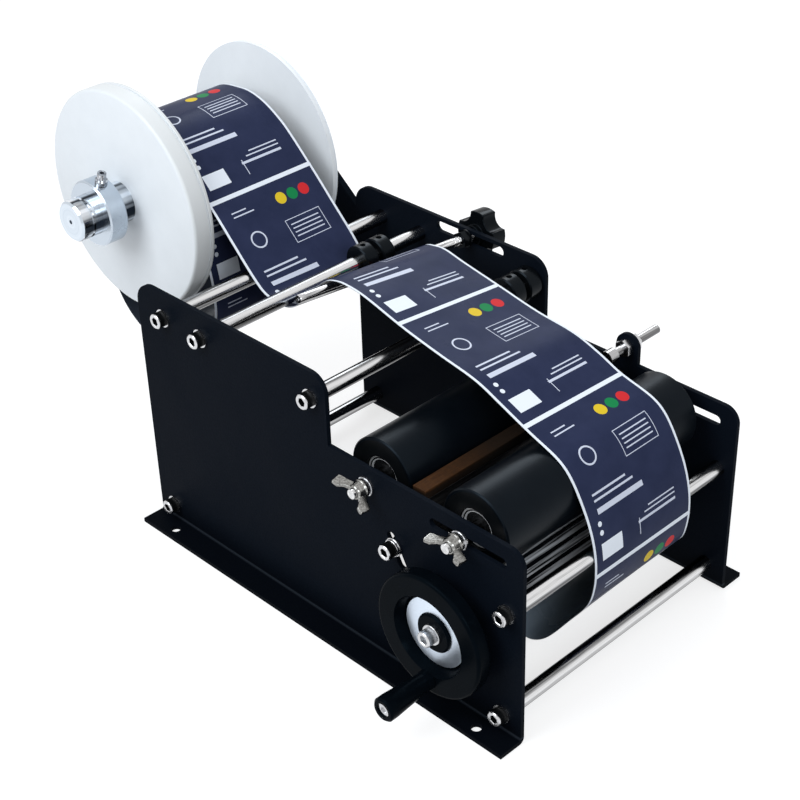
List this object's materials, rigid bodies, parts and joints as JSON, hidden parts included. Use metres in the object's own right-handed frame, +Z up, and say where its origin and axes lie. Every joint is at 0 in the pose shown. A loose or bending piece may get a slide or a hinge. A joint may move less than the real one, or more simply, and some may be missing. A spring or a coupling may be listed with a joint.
{
  "type": "bottle labelling machine",
  "caption": "Hand-cranked roller labeller for round bottles: black side plates on screw-down feet, label reel on a spindle, guide rods, bottle rollers, feed roller and handwheel.",
  "frame": {"origin": "centre of the four foot holes, on the underside of the feet", "axes": "+Z up, +Y from the front rollers towards the reel, +X from the handwheel side to the side with the star knob"},
  "size_m": [0.2741, 0.48, 0.2675],
  "materials": {
    "plate_black": "fine satin powder coat",
    "rod_steel": "bright ground",
    "screw_steel": "bright zinc",
    "spindle_chrome": "polished",
    "bushing_brass": "machined",
    "roller_rubber": "satin",
    "core_aluminium": "turned",
    "bearing_steel": "ground",
    "wheel_black": "satin moulded",
    "ring_blue": "anodised",
    "nut_nickel": "nickel plated casting",
    "flange_white": "satin moulded",
    "label_film": "printed film, navy on one side",
    "label_paper": "wound printed film",
    "core_card": "plain",
    "collar_black": "black oxide",
    "strip_wood": "oiled"
  },
  "bodies": {
    "frame": {"side_plate_left": "plate_black", "side_plate_right": "plate_black", "upper_rear_rod": "rod_steel", "upper_mid_rod": "rod_steel", "tower_rod": "rod_steel", "lower_rear_rod": "rod_steel", "front_rod": "rod_steel", "lower_front_rod": "rod_steel", "frame_screws": "screw_steel", "frame_washers": "screw_steel", "reel_arm": "plate_black", "arm_screws": "screw_steel", "reel_spindle": "spindle_chrome", "spindle_bolt": "screw_steel", "rear_axle": "rod_steel", "drive_bushings": "bushing_brass", "press_axle": "rod_steel", "stop_nuts": "screw_steel", "label_web": "label_film", "rear_axle_nut_right": "screw_steel"},
    "drive": {"drive_shaft": "rod_steel", "drive_core": "core_aluminium", "drive_cover": "roller_rubber", "handwheel": "wheel_black", "handwheel_ring": "ring_blue", "shaft_end_screws": "screw_steel", "crank_pin": "screw_steel"},
    "grip": {"crank_grip": "wheel_black"},
    "front_axle_carrier": {"front_axle": "rod_steel", "front_axle_washers": "screw_steel", "front_axle_nut_right": "screw_steel"},
    "front_roller": {"front_roller_tube": "core_aluminium", "front_roller_cover": "roller_rubber", "front_bearings": "bearing_steel"},
    "rear_roller": {"rear_roller_tube": "core_aluminium", "rear_roller_cover": "roller_rubber", "rear_bearings": "bearing_steel"},
    "front_left_nut": {"front_wing_nut_left": "nut_nickel"},
    "rear_left_nut": {"rear_wing_nut_left": "nut_nickel"},
    "guide": {"guide_rod": "rod_steel", "guide_rod_nut": "collar_black"},
    "knob": {"star_knob": "wheel_black"},
    "reel": {"reel_flange_left": "flange_white", "reel_flange_right": "flange_white", "label_roll": "label_paper", "reel_core": "core_card"},
    "collar": {"lock_collar": "spindle_chrome"},
    "collar_lock": {"lock_screw": "spindle_chrome"},
    "edge_1": {"edge_collar_1": "collar_black"},
    "edge_2": {"edge_collar_2": "collar_black"},
    "edge_3": {"edge_collar_3": "collar_black"},
    "edge_4": {"edge_collar_4": "collar_black"},
    "stop": {"stop_rod": "rod_steel"},
    "peel_bar": {"peel_rod": "rod_steel", "peel_plate": "collar_black", "peel_strip": "strip_wood", "peel_screws": "screw_steel"},
    "press": {"press_roller": "roller_rubber"}
  },
  "joints": [
    {"name": "drive_spin", "type": "hinge", "parent": "frame", "child": "drive", "pos_m": [-0.0964, -0.1087, 0.0587], "axis": [1, 0, 0], "continuous": true},
    {"name": "grip_spin", "type": "hinge", "parent": "drive", "child": "grip", "pos_m": [-0.1364, -0.1087, 0.0282], "axis": [1, 0, 0], "continuous": true},
    {"name": "front_axle_slide", "type": "slide", "parent": "frame", "child": "front_axle_carrier", "axis": [0, 1, 0], "range_m": [-0.03, 0.004], "deforming": ["label_web"]},
    {"name": "front_roller_spin", "type": "hinge", "parent": "front_axle_carrier", "child": "front_roller", "pos_m": [0, -0.1173, 0.1221], "axis": [1, 0, 0], "continuous": true},
    {"name": "rear_roller_spin", "type": "hinge", "parent": "frame", "child": "rear_roller", "pos_m": [0, -0.0435, 0.1221], "axis": [1, 0, 0], "continuous": true},
    {"name": "front_left_nut_turn", "type": "hinge", "parent": "front_axle_carrier", "child": "front_left_nut", "pos_m": [-0.1044, -0.1173, 0.1221], "axis": [-1, 0, 0], "range_deg": [0, 360]},
    {"name": "rear_left_nut_turn", "type": "hinge", "parent": "frame", "child": "rear_left_nut", "pos_m": [-0.1044, -0.0435, 0.1221], "axis": [-1, 0, 0], "range_deg": [0, 360]},
    {"name": "guide_rod_slide", "type": "slide", "parent": "frame", "child": "guide", "axis": [0, 1, 0], "range_m": [-0.028, 0.02], "deforming": ["label_web"]},
    {"name": "star_knob_turn", "type": "hinge", "parent": "guide", "child": "knob", "pos_m": [0.0949, 0.0563, 0.1734], "axis": [0.9951, 0, -0.0993], "range_deg": [0, 360]},
    {"name": "reel_spin", "type": "hinge", "parent": "frame", "child": "reel", "pos_m": [0, 0.24, 0.1905], "axis": [1, 0, 0], "continuous": true},
    {"name": "lock_collar_slide", "type": "slide", "parent": "frame", "child": "collar", "axis": [-1, 0, 0], "range_m": [-0.01, 0.022]},
    {"name": "lock_screw_turn", "type": "hinge", "parent": "collar", "child": "collar_lock", "pos_m": [-0.0656, 0.24, 0.1905], "axis": [0, -0.2756, 0.9613], "range_deg": [0, 360]},
    {"name": "edge_collar_2_slide", "type": "slide", "parent": "frame", "child": "edge_2", "axis": [1, 0, 0], "range_m": [-0.001, 0.03]},
    {"name": "edge_collar_1_slide", "type": "slide", "parent": "frame", "child": "edge_1", "axis": [1, 0, 0], "range_m": [-0.001, 0.03]},
    {"name": "edge_collar_3_slide", "type": "slide", "parent": "frame", "child": "edge_3", "axis": [1, 0, 0], "range_m": [-0.06, 0.0005]},
    {"name": "edge_collar_4_slide", "type": "slide", "parent": "frame", "child": "edge_4", "axis": [1, 0, 0], "range_m": [-0.06, 0.0005]},
    {"name": "stop_rod_slide", "type": "slide", "parent": "frame", "child": "stop", "axis": [1, 0, 0], "range_m": [-0.025, 0.007]},
    {"name": "peel_slide", "type": "slide", "parent": "frame", "child": "peel_bar", "axis": [0, 0.4756, 0.8796], "range_m": [-0.009, 0.005]},
    {"name": "press_roller_spin", "type": "hinge", "parent": "frame", "child": "press", "pos_m": [0, -0.08662, 0.03623], "axis": [1, 0, 0], "continuous": true}
  ],
  "couplings": [
    {"joint": "front_roller_spin", "follows": "drive_spin", "ratio": 0.8065},
    {"joint": "reel_spin", "follows": "drive_spin", "ratio": 0.4124},
    {"joint": "edge_collar_1_slide", "follows": "edge_collar_2_slide", "ratio": 1},
    {"joint": "edge_collar_4_slide", "follows": "edge_collar_3_slide", "ratio": 1},
    {"joint": "press_roller_spin", "follows": "drive_spin", "ratio": -1.9048}
  ]
}
